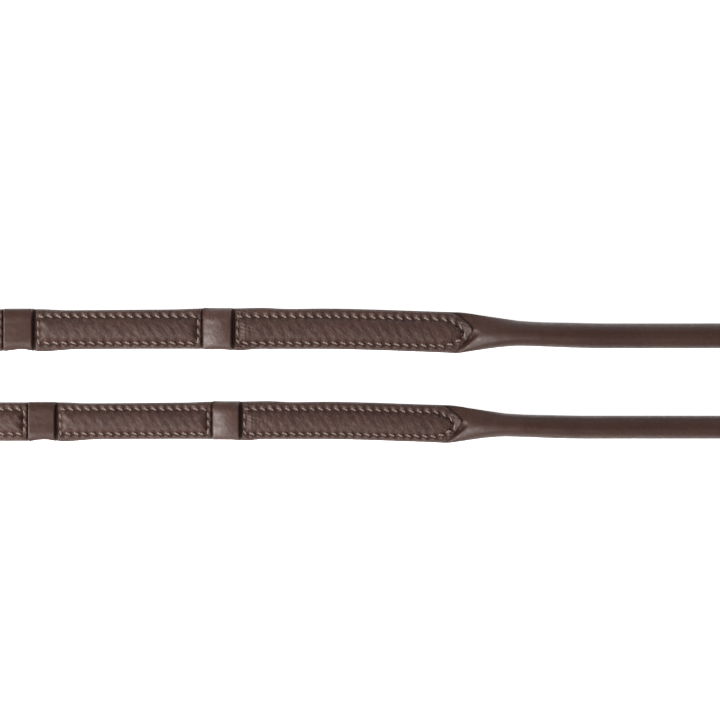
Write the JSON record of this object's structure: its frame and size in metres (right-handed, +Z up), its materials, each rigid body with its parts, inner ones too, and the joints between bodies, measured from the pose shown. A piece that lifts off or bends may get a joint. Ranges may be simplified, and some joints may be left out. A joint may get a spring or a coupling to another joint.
{
  "type": "leather reins",
  "caption": "Pair of leather riding reins with stitched padded grips, hand stops, rolled bit ends with hook-stud billets, and a buckle and punched tip at the centre ends.",
  "frame": {"origin": "bottom centre of the reins' footprint, without the rolled sections and their billets", "axes": "+X along the reins towards the bit ends, +Y across from the right rein to the left one, +Z up from the surface they lie on"},
  "size_m": [0.9409, 0.0984, 0.0169],
  "materials": {
    "grained_leather": "pebbled, semi-matt",
    "smooth_leather": "smooth, waxed",
    "rolled_leather": "smooth, rolled and waxed",
    "flesh_leather": "matt flesh side",
    "felt": "pressed felt",
    "cord_core": "twisted cord",
    "stainless_steel": "polished"
  },
  "bodies": {
    "reins": {"left_grip_lining": "flesh_leather", "left_grip_panel_1": "grained_leather", "left_panel_filler_1": "felt", "left_grip_panel_2": "grained_leather", "left_panel_filler_2": "felt", "left_grip_panel_3": "grained_leather", "left_panel_filler_3": "felt", "left_hand_stop_1": "smooth_leather", "left_hand_stop_core_1": "flesh_leather", "left_hand_stop_2": "smooth_leather", "left_hand_stop_core_2": "flesh_leather", "left_neck": "rolled_leather", "left_rolled_leather": "rolled_leather", "left_rolled_core": "cord_core", "left_billet_neck": "rolled_leather", "left_billet_strap": "smooth_leather", "left_hook_stud": "stainless_steel", "left_billet_fixed_keeper": "smooth_leather", "right_grip_lining": "flesh_leather", "right_grip_panel_1": "grained_leather", "right_panel_filler_1": "felt", "right_grip_panel_2": "grained_leather", "right_panel_filler_2": "felt", "right_grip_panel_3": "grained_leather", "right_panel_filler_3": "felt", "right_hand_stop_1": "smooth_leather", "right_hand_stop_core_1": "flesh_leather", "right_hand_stop_2": "smooth_leather", "right_hand_stop_core_2": "flesh_leather", "right_neck": "rolled_leather", "right_rolled_leather": "rolled_leather", "right_rolled_core": "cord_core", "right_billet_neck": "rolled_leather", "right_billet_strap": "smooth_leather", "right_hook_stud": "stainless_steel", "right_billet_fixed_keeper": "smooth_leather", "fold_tie": "smooth_leather"},
    "left_tail": {"left_buckle_strap": "smooth_leather", "buckle_fixed_keeper": "smooth_leather"},
    "buckle_runner": {"buckle_runner_keeper": "smooth_leather"},
    "buckle": {"buckle_frame": "stainless_steel"},
    "tongue": {"buckle_tongue": "stainless_steel"},
    "right_tail": {"right_tip_strap": "smooth_leather"},
    "left_billet_runner": {"left_billet_runner_keeper": "smooth_leather"},
    "right_billet_runner": {"right_billet_runner_keeper": "smooth_leather"}
  },
  "joints": [
    {"name": "left_tail_fold", "type": "hinge", "parent": "reins", "child": "left_tail", "pos_m": [-0.03934, 0.01824, 0.00265], "axis": [0, 1, 0], "range_deg": [0, 90]},
    {"name": "right_tail_fold", "type": "hinge", "parent": "reins", "child": "right_tail", "pos_m": [-0.02142, -0.02296, 0.00245], "axis": [0, 1, 0], "range_deg": [0, 90]},
    {"name": "buckle_swing", "type": "hinge", "parent": "left_tail", "child": "buckle", "pos_m": [-0.26844, 0.01824, 0.006], "axis": [0, 1, 0], "range_deg": [0, 80]},
    {"name": "tongue_swing", "type": "hinge", "parent": "buckle", "child": "tongue", "pos_m": [-0.26844, 0.01824, 0.006], "axis": [0, 1, 0], "range_deg": [0, 45]},
    {"name": "buckle_runner_slide", "type": "slide", "parent": "left_tail", "child": "buckle_runner", "axis": [1, 0, 0], "range_m": [-0.0045, 0.09]},
    {"name": "left_billet_runner_slide", "type": "slide", "parent": "reins", "child": "left_billet_runner", "axis": [1, 0, 0], "range_m": [-0.0105, 0.0055]},
    {"name": "right_billet_runner_slide", "type": "slide", "parent": "reins", "child": "right_billet_runner", "axis": [1, 0, 0], "range_m": [-0.0097, 0.005]}
  ]
}
